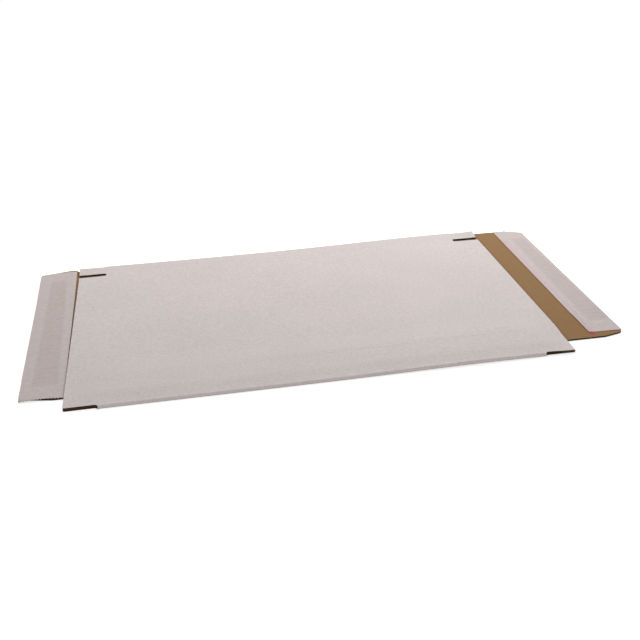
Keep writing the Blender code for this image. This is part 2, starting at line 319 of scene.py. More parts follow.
def slab(plan, place, low, high):
    """A closed slab: the plan placed at two depths, and a wall along each edge that only one cell has."""
    points, quads = plan
    count = len(points)
    vertices = np.concatenate([place(points, high), place(points, low)])
    edges = np.stack([quads, np.roll(quads, -1, axis=1)], axis=2).reshape(-1, 2)
    there = edges[:, 0] * count + edges[:, 1]
    back = edges[:, 1] * count + edges[:, 0]
    rim = edges[~np.isin(there, back)]
    walls = np.stack([rim[:, 1], rim[:, 0], rim[:, 0] + count, rim[:, 1] + count], axis=1)
    faces = np.concatenate([quads, quads[:, ::-1] + count, walls])
    kinds = np.repeat([HIGH, LOW, SIDE], [len(quads), len(quads), len(walls)])
    return vertices, outward(vertices, faces), kinds


def add_piece(name, slabs, materials, sharp=0.6):
    """A mesh object from slabs, each with the material numbers of its high face, low face and sides."""
    vertices = np.concatenate([part[0][0] for part in slabs])
    starts = np.cumsum([0] + [len(part[0][0]) for part in slabs[:-1]])
    faces = np.concatenate([part[0][1] + start for part, start in zip(slabs, starts)])
    looks = np.concatenate([np.array(part[1])[part[0][2]] for part in slabs])
    mesh = bpy.data.meshes.new(name)
    mesh.from_pydata(vertices, [], faces)
    for material in materials:
        mesh.materials.append(material)
    mesh.polygons.foreach_set("material_index", looks.astype(np.int32))
    mesh.shade_smooth()
    mesh.set_sharp_from_angle(angle=sharp)
    mesh.update()
    piece = bpy.data.objects.new(name, mesh)
    bpy.context.scene.collection.objects.link(piece)
    return piece


def set_attribute(piece, name, values):
    """One number for each vertex, which the materials read by its name."""
    attribute = piece.data.attributes.new(name, "FLOAT", "POINT")
    attribute.data.foreach_set("value", values.astype(np.float32))


def ripples(u, v, count, shortest, longest, seed):
    """About -1 to 1: the mean of cosine waves of seeded direction, length and phase, times root count."""
    draw = np.random.default_rng(seed)
    turn = draw.uniform(0.0, np.pi, count)
    pace = 2.0 * np.pi / draw.uniform(shortest, longest, count)
    phase = draw.uniform(0.0, 2.0 * np.pi, count)
    waves = np.cos(pace * (np.outer(u, np.cos(turn)) + np.outer(v, np.sin(turn))) + phase)
    return waves.sum(axis=1) / np.sqrt(count)


def bow_at(x):
    """Lift of the flat tube off the table: a bell curve of x, whose tail reaches the right flap's root."""
    return bpy.context.scene.mailer_board.bow_height * bell(x - BOW_MIDDLE, BOW_WIDTH)


# The folded tube

class TubeSheet:
    """The sheet folded to the tube, as a function of the distance s across it, of x and of the depth.

    s runs from the bottom panel's raw edge to the back fold, over the top panel to the front fold, and
    back under it along the front strip and the glued tab. Depth 0 is the white outside and depth BOARD
    the kraft inside. Distances called y below are measured from the front fold.
    """

    def __init__(self, sizes):
        self.sizes = sizes
        self.side = sizes.side_height
        self.fold = BOARD + sizes.layer_gap / 2
        arc = np.pi * self.fold
        self.crease = DEPTH - self.side
        self.tab_end = self.side + sizes.glue_tab
        lengths = [self.crease - self.fold, arc, DEPTH - 2 * self.fold, arc, self.side - self.fold]
        self.marks = np.concatenate([[0.0], np.cumsum(lengths + [sizes.glue_tab])])

    def bottom(self, y):
        return y - self.side

    def top(self, y):
        return self.marks[2] + DEPTH - self.fold - y

    def strip(self, y):
        return self.marks[4] + y - self.fold

    def tab(self, y):
        return self.marks[5] + y - self.side

    def slot_spans(self, inset):
        """The slots' spans of s: back fold, top panel's crease, front fold and tab's crease."""
        half = self.sizes.slot_width / 2 + inset
        return (
            (self.bottom(DEPTH - half), self.top(DEPTH - half)),
            (self.top(self.crease + half), self.top(self.crease - half - self.sizes.slot_spread)),
            (self.top(half), self.strip(half)),
            (self.strip(self.side - half), self.tab(self.side + half)),
        )

    def flap_spans(self, inset):
        """The spans of s that reach the end: bottom panel, back strip, top panel and front strip."""
        spans = self.slot_spans(inset)
        first = self.bottom(self.side + self.sizes.slot_width / 2 + inset)
        starts = [first] + [span[1] for span in spans[:3]]
        return list(zip(starts, [span[0] for span in spans]))

    def rows(self, inset, fine):
        """Places of s for a grid, closest where the top panel lies over the strip and the tab."""
        flaps = self.flap_spans(inset)
        stops = [
            inset, *flaps[0], self.marks[1], self.marks[2], *flaps[1], flaps[2][0],
            self.top(72 * MM), self.top(46 * MM), self.top(5 * MM), flaps[2][1], self.marks[3],
            self.marks[4], *flaps[3], self.marks[5], self.slot_spans(inset)[3][1], self.marks[6] - inset,
        ]
        if fine:
            steps = [2, 34, 2, 10, 2, 6, 10, 44, 13, 68, 3, 2, 12, 2, 6, 4, 4, 3]
        else:
            steps = [1, 17, 2, 8, 1, 3, 8, 22, 7, 14, 1, 1, 10, 1, 5, 3, 3, 2]
        places = stations(stops, steps)
        if fine:
            around = np.linspace(-2 * NICK_REACH, 2 * NICK_REACH, 7)
            nicks = np.array(LEFT_NICKS + RIGHT_NICKS)[:, None] - FRONT + around
            places = np.unique(np.round(np.concatenate([places, self.top(nicks.ravel())]), 9))
        return places

    def plan(self, inset, fine, panel_end):
        """The sheet's plan in (s, x): a body whose ends dip round at each slot, and the flaps between the
        slots. The top panel's ends carry the nicks."""
        rows = self.rows(inset, fine)
        radius = self.sizes.slot_width / 2
        neck = PANEL_END - self.sizes.slot_length + radius - inset
        dip = np.zeros(len(rows))
        for start, end in self.slot_spans(inset):
            off_centre = np.abs(rows - (start + end) / 2) / ((end - start) / 2)
            dip = np.maximum(dip, radius * np.sqrt(np.clip(1.0 - off_centre ** 2, 0.0, 1.0)))
        tab_start = sum(self.slot_spans(inset)[3]) / 2
        dip[rows >= tab_start] = radius
        edge = (neck - dip)[:, None]
        inner = np.linspace(-1.0, 1.0, 46 if fine else 26) * (neck - radius - NECK_MARGIN)
        plans = [grid(rows, np.hstack([-edge, np.broadcast_to(inner, (len(rows), len(inner))), edge]))]
        for number, (start, end) in enumerate(self.flap_spans(inset)):
            inside = rows[(rows > start - 1e-8) & (rows < end + 1e-8)]
            reach = PANEL_END - ROOT_LAP if number == 0 else panel_end
            out = np.linspace(neck, reach, 7)
            y = DEPTH - self.fold - (inside - self.marks[2]) + FRONT
            for side, nicks in ((-1, LEFT_NICKS), (1, RIGHT_NICKS)):
                columns = np.tile(out, (len(inside), 1))
                if fine and number == 2:
                    near = bell(y[:, None] - np.array(nicks), NICK_REACH).sum(axis=1)
                    columns[:, -1] += NICK_HEIGHT * near
                columns = columns if side > 0 else -columns[:, ::-1]
                plans.append(grid(inside, columns))
        return weld(plans)

    def flute_plans(self):
        """Plans of the bare flutes at both ends of each flap of the top layer and of the front strip."""
        plans = []
        for start, end in self.flap_spans(CORE_INSET)[1:]:
            rows = np.arange(start + CORE_INSET, end, self.sizes.flute_pitch / 10)
            for side in (-1, 1):
                reach = np.array([PANEL_END - FLUTE_DEPTH - MM, PANEL_END - FLUTE_RECESS])
                plans.append(grid(rows, np.sort(side * reach)))
        return plans

    def opening(self, x):
        """How far the layers stand apart at the back fold: tight in the middle, open at the ends."""
        return self.sizes.back_opening * (x / PANEL_END) ** 2

    def relief(self, x, y):
        """Height pressed into the top panel's paper: flute ridges over the front strip's left end, a
        ridge and a dip along the tab's edge, and the crease between the two back slots."""
        pace = 2.0 * np.pi / self.sizes.flute_pitch
        shown = window(x, *FLUTES_SHOWN_X) * window(y, *FLUTES_SHOWN_Y)
        ridges = shown * (0.5 + 0.5 * np.cos(pace * (y - FLUTE_CREST)))
        past = y - self.tab_end
        step = bell(past + 0.9 * MM, 0.8 * MM) - bell(past - 0.8 * MM, 0.7 * MM)
        step = step * window(x, *TAB_SHOWN_X)
        groove = window(x, *CREASE_SHOWN_X) * bell(y - self.crease, 0.9 * MM)
        return self.sizes.relief * (ridges + 1.2 * step - 1.2 * groove)

    def lean(self, x, y):
        """How far the top panel's right front end is off its place, back along X and forward along Y."""
        off = LEAN * smooth((x - PANEL_END + LEAN_FROM) / LEAN_OVER)
        return off * smooth((50 * MM - y) / (30 * MM)), off * smooth((30 * MM - y) / (26 * MM))

    def place(self, points, depth):
        """Where a point of the sheet lies: straight on the panels, on an ellipse round the back fold and
        on a circle round the front fold, with the strip rising by the board's thickness to its crease.
        The ends beyond the tab have nothing under them and settle down."""
        s, x = points[:, 0], points[:, 1]
        part = np.clip(np.searchsorted(self.marks, s, side="right") - 1, 0, 5)
        share = (s - self.marks[part]) / (self.marks[part + 1] - self.marks[part])
        opening = self.opening(x)
        half_height = self.fold + opening / 2
        half_width = self.fold + FOLD_OVAL * opening
        back = DEPTH - half_width
        y_bottom = self.side + share * (back - self.side)
        y_top = back + share * (self.fold - back)
        y_strip = self.fold + share * (self.side - self.fold)
        y_tab = self.side + share * self.sizes.glue_tab
        turn_back = np.pi * (share - 0.5)
        turn_front = np.pi * (share + 0.5)
        to_end = PANEL_END - np.abs(x)
        held = smooth(to_end / self.sizes.slot_length)

        def strip_rise(y):
            return (BOARD + HAIRLINE) * smooth((y - self.fold) / (self.side - self.fold))

        settled = 1.0 - smooth((y_top - self.tab_end) / self.sizes.tab_settle)
        rise = opening * smooth((y_top - self.crease) / (back - self.crease))
        curled = smooth(1.0 - to_end / CURL_REACH) ** 2 * smooth((y_top - self.crease) / CURL_SETBACK)
        rise = rise + self.sizes.corner_curl * curled
        z_top = BOARD + self.sizes.layer_gap + strip_rise(y_top) * settled * held + rise + BOARD - depth
        surface = np.clip(1.0 - depth / self.sizes.liner, 0.0, 1.0)
        uneven = 0.07 * self.sizes.relief * ripples(x, y_top, 12, 45 * MM, 120 * MM, 7)
        z_top = z_top + surface * self.relief(x, y_top) + uneven
        parts = [part == number for number in range(6)]
        y = np.select(parts, [
            y_bottom,
            back + (half_width - depth) * np.cos(turn_back),
            y_top,
            self.fold + (self.fold - depth) * np.cos(turn_front),
            y_strip,
            y_tab,
        ])
        z = np.select(parts, [
            depth + 0.0 * x,
            half_height + (half_height - depth) * np.sin(turn_back),
            z_top,
            self.fold + (self.fold - depth) * np.sin(turn_front),
            strip_rise(y_strip) * held + depth,
            BOARD + HAIRLINE + depth,
        ])
        back_along_x, forward_along_y = self.lean(x, y)
        x_out = x - back_along_x * parts[2]
        y_out = y - forward_along_y * parts[2]
        return np.stack([x_out, y_out + FRONT, z + bow_at(x)], axis=1)


def board_slabs(fine_plan, coarse_plan, place, flute_plans, flute_along, sizes):
    """The white liner, the core, the kraft liner and the bare flutes of one stretch of corrugated board.

    A flute is a thin sheet whose mid depth is half the board plus a sine of the distance across it.
    """
    lap = sizes.liner * LINER_LAP
    slabs = [
        (slab(fine_plan, place, 0.0, sizes.liner), (1, 0, 0)),
        (slab(coarse_plan, place, lap, BOARD - lap), (2, 2, 2)),
        (slab(fine_plan, place, BOARD - sizes.liner, BOARD), (1, 1, 2)),
    ]
    swing = BOARD / 2 - sizes.liner - FLUTE_THICKNESS / 2
    for plan in flute_plans:
        wave = BOARD / 2 + swing * np.sin(2.0 * np.pi * plan[0][:, flute_along] / sizes.flute_pitch)
        sheet = slab(plan, place, wave - FLUTE_THICKNESS / 2, wave + FLUTE_THICKNESS / 2)
        slabs.append((sheet, (2, 2, 2)))
    return slabs


def burr_slab(sizes):
    """A shred of white paper torn up at the inner end of the left front notch: a strip that narrows to its
    tip with the root of the distance, and curls up with its square."""
    root = np.array([-PANEL_END + sizes.slot_length + 0.6 * MM, FRONT + 1.2 * MM, 0.9 * MM])
    along, across = np.array([-0.35, -0.94, 0.0]), np.array([0.94, -0.35, 0.0])
    plan = grid(np.linspace(0.0, 1.0, 9), np.linspace(-1.0, 1.0, 5))

    def place(points, depth):
        u, v = points[:, 0:1], points[:, 1:2]
        width = BURR_HALF * np.sqrt(np.clip(1.04 - u, 0.0, 1.0))
        lift = np.array([0.0, 0.0, 1.0]) * (0.5 * MM * u ** 2 + 0.15 * MM * v ** 2 + depth)
        return root + along * BURR_REACH * u + across * width * v + lift

    return slab(plan, place, 0.0, sizes.liner * 0.6)


# Closure flaps, papers and tape

def edge_line(u, straight, tip, taper, corner):
    """How far a flap's side has come in at the distance u from the hinge: nothing along the straight,
    then a slope to the taper at the tip, and a quarter circle that rounds the tip's corner."""
    slope = taper * np.clip((u - straight) / (tip - straight), 0.0, 1.0)
    past = np.clip(u - (tip - corner), 0.0, corner)
    return slope + corner - np.sqrt(np.clip(corner ** 2 - past ** 2, 0.0, None))


def flap_plan(rows, front, back, columns):
    """A plan in (u, y): at each distance u from the hinge a row of places from front line to back line."""
    share = np.linspace(0.0, 1.0, columns)
    return grid(rows, front[:, None] + (back - front)[:, None] * share)


def flap_x(hinge, side, u, y):
    """Out from the hinge by u. The left flap's tip runs askew: it reaches further out towards the back."""
    skew = LEFT_SKEW * y if side < 0 else 0.0
    return hinge.x + side * u * (1.0 + skew)


def corner_lift(side, u, y):
    """The left flap is not quite flat: towards its back end it comes up off the table from its root."""
    if side > 0:
        return 0.0 * u
    return LEFT_LIFT * smooth((y - LIFT_FROM) / LIFT_OVER) * smooth((u + 2.5 * MM) / (5 * MM))


def flap_place(hinge, side):
    """How a flap's points go to space: out from the hinge by u, up by the depth, and lifted with the bow
    and the flap's corner. The kraft face has a groove along the crease, a bell curve of the distance."""

    def place(points, depth):
        u, y = points[:, 0], points[:, 1]
        x = flap_x(hinge, side, u, y)
        surface = np.clip((depth - BOARD / 2) / (BOARD / 2), 0.0, 1.0)
        groove = CREASE_GROOVE * bell(u, 0.8 * MM) * surface
        return np.stack([x, y, depth - groove + bow_at(x) + corner_lift(side, u, y)], axis=1)

    return place


def flap_board(name, hinge, side, stops, steps, outline=None):
    """A flap's board between its first and last stop, which are distances u from its hinge. With an
    outline, of straight, front taper, back taper and corner, the last stop is its tip, where the flutes
    are bare."""
    sizes = bpy.context.scene.mailer_board
    place = flap_place(hinge, side)
    end = stops[-1]

    def plan(inset, reach, columns):
        rows = stations(list(stops[:-1]) + [reach], steps)
        front = np.full(len(rows), FLAP_FRONT + inset)
        back = np.full(len(rows), FLAP_BACK - inset)
        if outline:
            straight, front_taper, back_taper, corner = outline
            turn = np.linspace(0.0, np.pi / 2, 7)
            rounded = end - inset - corner * (1.0 - np.sin(turn))
            rows = np.unique(np.round(np.concatenate([rows, rounded[rounded < reach + 1e-9]]), 9))
            front = FLAP_FRONT + inset + edge_line(rows, straight, end - inset, front_taper, corner)
            back = FLAP_BACK - inset - edge_line(rows, straight, end - inset, back_taper, corner)
        return flap_plan(rows, front, back, columns)

    core_reach = end - FLUTE_DEPTH if outline else end
    flutes = []
    if outline:
        _, front_taper, back_taper, corner = outline
        first, last = FLAP_FRONT + front_taper + corner, FLAP_BACK - back_taper - corner
        across = np.arange(first, last, sizes.flute_pitch / 10)
        flutes = [grid(np.array([core_reach - MM, end - FLUTE_RECESS]), across)]
    slabs = board_slabs(plan(0.0, end, 46), plan(CORE_INSET, core_reach, 30), place, flutes, 1, sizes)
    return add_piece(name, slabs, board_finishes())


def inside_patch(u, y, patch, soft):
    """1 inside a patch and 0 outside, with a soft rim. The patch is its u span at its front end and at
    its back end, and the places of those two ends; between them the span runs straight."""
    front_span, back_span, front_end, back_end = patch
    share = np.clip((y - front_end) / (back_end - front_end), 0.0, 1.0)
    low = front_span[0] + share * (back_span[0] - front_span[0])
    high = front_span[1] + share * (back_span[1] - front_span[1])
    across = smooth((u - low) / soft + 0.5) * smooth((high - u) / soft + 0.5)
    return across * smooth((y - front_end) / (2 * soft) + 0.5) * smooth((back_end - y) / (2 * soft) + 0.5)


def ridge(u, y, one, two, width):
    """A rounded ridge along the line from one point to another: a bell curve of the distance from that
    line, times a half sine of the way along it."""
    start, run = np.array(one), np.array(two) - np.array(one)
    length = np.hypot(*run)
    away = np.stack([u, y], axis=1) - start
    along = (away @ run) / length ** 2
    off = (away @ np.array([-run[1], run[0]])) / length
    return bell(off, width) * np.sin(np.pi * np.clip(along, 0.0, 1.0))


class LinerShape:
    """A peel-off liner as a function of u, the distance from its flap's hinge, and y.

    Its inner edge runs straight from its front place to its back place, and its outer edge is torn in
    small ticks in front of the place ragged_from.
    """

    def __init__(self, hinge, side, inner, tip, ragged_from, front_line, back_line, glue, tape, lifts):
        self.hinge, self.side, self.ragged_from = hinge, side, ragged_from
        self.inner, self.tip = inner, tip
        self.front_line, self.back_line = front_line, back_line
        self.glue, self.tape, self.lifts = glue, tape, lifts

    def plan(self, sizes):
        """Rows four to a tooth, which is a triangle wave of u at both torn ends."""
        low = min(self.inner)
        rows = np.linspace(low, self.tip, int(round((self.tip - low) / sizes.tooth_pitch * 4)) + 1)
        phase = (rows - low) / sizes.tooth_pitch
        tooth = sizes.tooth_height * np.abs(2.0 * (phase % 1.0) - 1.0)
        front = self.front_line(rows) + tooth
        back = self.back_line(rows) - tooth
        points, quads = flap_plan(rows, front, back, 236)
        y = points[:, 1]
        share = np.clip((y - FLAP_FRONT) / (FLAP_BACK - FLAP_FRONT), 0.0, 1.0)
        inner = self.inner[0] + (self.inner[1] - self.inner[0]) * share
        tick = TICK_HEIGHT * np.abs(2.0 * ((y / TICK_PITCH) % 1.0) - 1.0)
        tip = self.tip - tick * smooth((self.ragged_from - y) / (4 * MM))
        points[:, 0] = inner + (points[:, 0] - low) * (tip - inner) / (self.tip - low)
        return points, quads

    def over(self, u, y):
        """How far a point lies over the adhesive, and over the tape."""
        tape = inside_patch(u, y, self.tape, 0.6 * MM) if self.tape else 0.0 * u
        return inside_patch(u, y, self.glue, 3.5 * MM), tape

    def place(self, points, depth):
        """Above the board by a small gap, raised over the adhesive and the tape, with cross wrinkles
        there, a slow waviness all over, and this liner's own lifts."""
        sizes = bpy.context.scene.mailer_paper
        u, y = points[:, 0], points[:, 1]
        glue, tape = self.over(u, y)
        cross = ripples(u * 0.35, y + 0.3 * u, 18, 2.4 * MM, 8 * MM, 3)
        slow = ripples(u, y, 10, 22 * MM, 70 * MM, 5)
        waves = np.maximum((0.3 + glue) * (1.0 + 0.6 * cross) + 0.5 * (1.0 + 0.7 * slow), 0.0)
        x = flap_x(self.hinge, self.side, u, y)
        z = BOARD + LINER_GAP + LINER_RAISED * np.maximum(glue, tape) + sizes.wrinkle * waves
        z = z + self.lifts(u, y) + bow_at(x) + corner_lift(self.side, u, y)
        return np.stack([x, y, z + depth], axis=1)


def add_liner(name, node, shape):
    """A liner's paper, with the masks of what lies below it for its material."""
    sizes = bpy.context.scene.mailer_paper
    plan = shape.plan(sizes)
    sheet = slab(plan, shape.place, 0.0, sizes.thickness)
    piece = add_piece(name, [(sheet, (0, 0, 0))], [liner_paper()], sharp=1.0)
    glue, tape = shape.over(plan[0][:, 0], plan[0][:, 1])
    set_attribute(piece, "glue_below", np.tile(glue, 2))
    set_attribute(piece, "tape_below", np.tile(tape, 2))
    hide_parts(node)
    return piece


def left_liner():
    """The left liner: it overhangs the flap's tapered front corner, where it is torn and droops, and a
    crease runs across its front end."""
    tip = LEFT_HINGE.x - LEFT_LINER_LOW.x + 0.6 * MM
    flap_tip = LEFT_HINGE.x - LEFT_FLAP_LOW.x
    inner = (-1.6 * MM, 0.8 * MM)

    def front_line(u):
        return LEFT_LINER_LOW.y + 0.5 * MM + 1.2 * MM * smooth(u / (14 * MM))

    def back_line(u):
        taper = LEFT_TAPER - 1.2 * MM
        set_back = 1.8 * MM * np.clip(1.0 - u / tip, 0.0, 1.0)
        return LEFT_LINER_HIGH.y - set_back - edge_line(u, LEFT_STRAIGHT, tip, taper, 0.6 * LEFT_CORNER)

    def lifts(u, y):
        board_front = FLAP_FRONT + edge_line(u, LEFT_STRAIGHT, flap_tip, LEFT_TAPER, LEFT_CORNER)
        droop = 1.3 * MM * smooth((board_front - y) / (7 * MM))
        rim = 0.25 * MM * bell(y - front_line(u) - 1.5 * MM, 1.3 * MM)
        crease = 0.35 * MM * ridge(u, y, (28.6 * MM, -86.9 * MM), (4.5 * MM, -113.0 * MM), 1.3 * MM)
        band = 0.12 * MM * ridge(u, y, (7.3 * MM, 95.0 * MM), (1.5 * MM, -95.0 * MM), 1.6 * MM)
        return rim + crease + band - droop

    glue = ((4.3 * MM, 24.5 * MM), (8.8 * MM, 22.5 * MM), -91.3 * MM, 108.8 * MM)
    return LinerShape(LEFT_HINGE, -1, inner, tip, -80 * MM, front_line, back_line, glue, None, lifts)


def right_liner():
    """The right liner: it stops short of the flap's front edge, where the tape's end shows, and its
    inner edge lifts a little there."""
    tip = RIGHT_LINER_HIGH.x - RIGHT_HINGE.x
    inner = RIGHT_LINER_LOW.x - RIGHT_HINGE.x - 1.3 * MM

    def front_line(u):
        return -104.9 * MM - 1.6 * MM * np.clip((u - inner) / (tip - inner), 0.0, 1.0)

    def back_line(u):
        taper = RIGHT_BACK_TAPER - 0.2 * MM
        return RIGHT_LINER_HIGH.y - edge_line(u, RIGHT_STRAIGHT, tip, taper, 0.6 * RIGHT_CORNER)

    def lifts(u, y):
        raised = 0.40 * MM * bell(u - inner, 2.2 * MM) * smooth((-64 * MM - y) / (14 * MM))
        tick = 0.5 * MM * ridge(u, y, (12.6 * MM, 131.0 * MM), (14.6 * MM, 131.4 * MM), 1.2 * MM)
        return raised + tick

    glue = ((9.4 * MM, 27.6 * MM), (13.2 * MM, 25.2 * MM), -83.5 * MM, 109.9 * MM)
    low, high = (place.x - RIGHT_HINGE.x + TAPE_SHIFT for place in (TAPE_LOW, TAPE_HIGH))
    tape = ((low, high), (low, high), TAPE_LOW.y, TAPE_HIGH.y)
    edges = ((inner, inner), tip, FLAP_FRONT, front_line, back_line)
    return LinerShape(RIGHT_HINGE, 1, *edges, glue, tape, lifts)


def adhesive_slab(low, high, hinge, side):
    """An adhesive strip: a thin film between the corners of its box, which follows its flap's lift."""
    rows = np.linspace(*sorted((side * (low.x - hinge.x), side * (high.x - hinge.x))), 5)
    plan = flap_plan(rows, np.full(len(rows), low.y), np.full(len(rows), high.y), 60)

    def place(points, depth):
        u, y = points[:, 0], points[:, 1]
        x = hinge.x + side * u
        z = BOARD + GLUE_GAP + depth + bow_at(x) + corner_lift(side, u, y)
        return np.stack([x, y, z], axis=1)

    return slab(plan, place, 0.0, high.z - low.z)


def tape_slab():
    """The tear tape: a flat film whose front end is cut at a slant with one rounded corner."""
    share = np.linspace(0.0, 1.0, 9)
    rows = TAPE_LOW.x + TAPE_SHIFT + share * (TAPE_HIGH.x - TAPE_LOW.x)
    rounded = 1.0 * MM * np.clip(share - 0.6, 0.0, 1.0) ** 2 / 0.16
    front = TAPE_LOW.y + 0.6 * MM - 0.5 * MM * share + rounded
    back = np.full(len(rows), RIGHT_LINER_HIGH.y - 0.4 * MM)

    def place(points, depth):
        x, y = points[:, 0], points[:, 1]
        wave = 0.01 * MM * ripples(x, y, 8, 12 * MM, 40 * MM, 11)
        return np.stack([x, y, BOARD + TAPE_GAP + depth + wave + bow_at(x)], axis=1)

    return slab(flap_plan(rows, front, back, 120), place, 0.0, TAPE_THICKNESS)


# Shader tools

def feed(tree, node, inputs):
    """Gives a node its inputs: a socket is linked, and anything else is set as the value."""
    for socket, value in inputs.items():
        if isinstance(value, bpy.types.NodeSocket):
            tree.links.new(value, node.inputs[socket])
        else:
            node.inputs[socket].default_value = value


def add_node(tree, kind, inputs=None, **settings):
    """A shader node with its settings and inputs."""
    made = tree.nodes.new(kind)
    for name, value in settings.items():
        setattr(made, name, value)
    feed(tree, made, inputs or {})
    return made


def math_node(tree, operation, *values, clamp=False):
    """The result socket of a Math node."""
    made = add_node(tree, "ShaderNodeMath", dict(enumerate(values)), operation=operation, use_clamp=clamp)
    return made.outputs[0]


def ramp_up(tree, value, low, high):
    """A value held between 0 at one end and 1 at the other, smoothly."""
    inputs = {"Value": value, "From Min": low, "From Max": high, "To Min": 0.0, "To Max": 1.0}
    return add_node(tree, "ShaderNodeMapRange", inputs, interpolation_type="SMOOTHSTEP").outputs["Result"]


def mix_colours(tree, mask, one, two):
    """One colour where the mask is 0 and the other where it is 1."""
    return add_node(tree, "ShaderNodeMix", {0: mask, 6: one, 7: two}, data_type="RGBA").outputs[2]


def object_coordinates(tree):
    """The object's own coordinates in metres."""
    return add_node(tree, "ShaderNodeTexCoord").outputs["Object"]


def start_group(name, inputs, outputs):
    """A shader node group with named inputs, each with its default, and named outputs."""
    group = bpy.data.node_groups.new(name, "ShaderNodeTree")
    for label, kind, default in inputs:
        socket = group.interface.new_socket(label, in_out="INPUT", socket_type=kind)
        if default is not None:
            socket.default_value = default
    for label in outputs:
        group.interface.new_socket(label, in_out="OUTPUT", socket_type="NodeSocketFloat")
    return group, group.nodes.new("NodeGroupInput").outputs, group.nodes.new("NodeGroupOutput").inputs


def paper_grain_group():
    """Mottling, fibres and slow unevenness of paper: a tone and a streak about 0, a height from 0 to 1."""
    group, given, result = start_group(
        "Paper grain",
        [
            ("Vector", "NodeSocketVector", None),
            ("Mottle", "NodeSocketFloat", 2.5 * MM),
            ("Fibre", "NodeSocketFloat", 0.6 * MM),
            ("Stretch", "NodeSocketFloat", 3.0),
        ],
        ["Tone", "Streak", "Height"])
    mottle_scale = math_node(group, "DIVIDE", 1.0, given["Mottle"])
    mottle = add_node(group, "ShaderNodeTexNoise", {
        "Vector": given["Vector"], "Scale": mottle_scale, "Detail": 3.0, "Roughness": 0.6})
    broad = add_node(group, "ShaderNodeTexNoise", {
        "Vector": given["Vector"], "Scale": 14.0, "Detail": 2.0, "Roughness": 0.5})
    squeeze = add_node(group, "ShaderNodeCombineXYZ", {
        "X": math_node(group, "DIVIDE", 1.0, given["Stretch"]), "Y": 1.0, "Z": 1.0})
    stretched = add_node(group, "ShaderNodeVectorMath", {
        0: given["Vector"], 1: squeeze.outputs[0]}, operation="MULTIPLY")
    fibre_scale = math_node(group, "DIVIDE", 1.0, given["Fibre"])
    fibre = add_node(group, "ShaderNodeTexNoise", {
        "Vector": stretched.outputs[0], "Scale": fibre_scale, "Detail": 4.0, "Roughness": 0.65})
    fine = math_node(group, "SUBTRACT", mottle.outputs[0], 0.5)
    slow = math_node(group, "SUBTRACT", broad.outputs[0], 0.5)
    tone = math_node(group, "MULTIPLY_ADD", slow, 0.25, fine)
    streak = math_node(group, "SUBTRACT", fibre.outputs[0], 0.5)
    low_height = math_node(group, "MULTIPLY", mottle.outputs[0], 0.4)
    height = math_node(group, "MULTIPLY_ADD", fibre.outputs[0], 0.6, low_height)
    for label, value in (("Tone", tone), ("Streak", streak), ("Height", height)):
        group.links.new(value, result[label])
    return group


def washboard_group():
    """Faint ridges where the flutes print through the liner: a sine of Y, faded by a slow noise."""
    group, given, result = start_group(
        "Washboard",
        [("Vector", "NodeSocketVector", None), ("Pitch", "NodeSocketFloat", 3.0 * MM)],
        ["Height"])
    parts = add_node(group, "ShaderNodeSeparateXYZ", {0: given["Vector"]})
    turns = math_node(group, "DIVIDE", parts.outputs["Y"], given["Pitch"])
    wave = math_node(group, "SINE", math_node(group, "MULTIPLY", turns, 2.0 * np.pi))
    patchy = add_node(group, "ShaderNodeTexNoise", {
        "Vector": given["Vector"], "Scale": 22.0, "Detail": 2.0})
    shown = ramp_up(group, patchy.outputs[0], 0.35, 0.75)
    half = math_node(group, "MULTIPLY_ADD", wave, 0.5, 0.5)
    group.links.new(math_node(group, "MULTIPLY", half, shown), result["Height"])
    return group


def specks_group():
    """Small dark specks: one to a cell, most of them too small to see."""
    group, given, result = start_group(
        "Specks",
        [
            ("Vector", "NodeSocketVector", None),
            ("Spacing", "NodeSocketFloat", 9.0 * MM),
            ("Size", "NodeSocketFloat", 0.7 * MM),
        ],
        ["Mask"])
    scale = math_node(group, "DIVIDE", 1.0, given["Spacing"])
    cells = add_node(group, "ShaderNodeTexVoronoi", {"Vector": given["Vector"], "Scale": scale})
    chance = add_node(group, "ShaderNodeSeparateColor", {0: cells.outputs["Color"]}).outputs[0]
    share = math_node(group, "MULTIPLY", math_node(group, "POWER", chance, 6.0), given["Size"])
    reach = math_node(group, "MAXIMUM", math_node(group, "MULTIPLY", share, scale), 0.0001)
    ratio = math_node(group, "DIVIDE", cells.outputs["Distance"], reach)
    group.links.new(math_node(group, "SUBTRACT", 1.0, ramp_up(group, ratio, 0.6, 1.0)), result["Mask"])
    return group


def effect(tree, name, build, inputs):
    """The outputs of a shared node group, made the first time that a material asks for it."""
    group = bpy.data.node_groups.get(name) or build()
    return add_node(tree, "ShaderNodeGroup", inputs, node_tree=group).outputs


def bumped(tree, height, distance, normal=None):
    """The normal after a relief of that height in metres."""
    inputs = {"Height": height, "Distance": distance, "Strength": 1.0}
    if normal is not None:
        inputs["Normal"] = normal
    return add_node(tree, "ShaderNodeBump", inputs).outputs["Normal"]


def shaded(tree, colour, *changes):
    """A colour whose value goes up and down by each change, a socket about 0, times its share."""
    value = 1.0
    for socket, share in changes:
        value = math_node(tree, "MULTIPLY_ADD", socket, share, value)
    inputs = {"Color": colour, "Value": value}
    return add_node(tree, "ShaderNodeHueSaturation", inputs).outputs["Color"]


def opaque(colour):
    """A colour with its alpha."""
    return (*colour, 1.0)


def seen_directly(tree):
    """1 for what the camera, a reflection or a clear thing looks at, and 0 for light that is thrown on."""
    rays = add_node(tree, "ShaderNodeLightPath").outputs
    seen = math_node(tree, "MAXIMUM", rays["Is Camera Ray"], rays["Is Glossy Ray"])
    return math_node(tree, "MAXIMUM", seen, rays["Is Transmission Ray"])


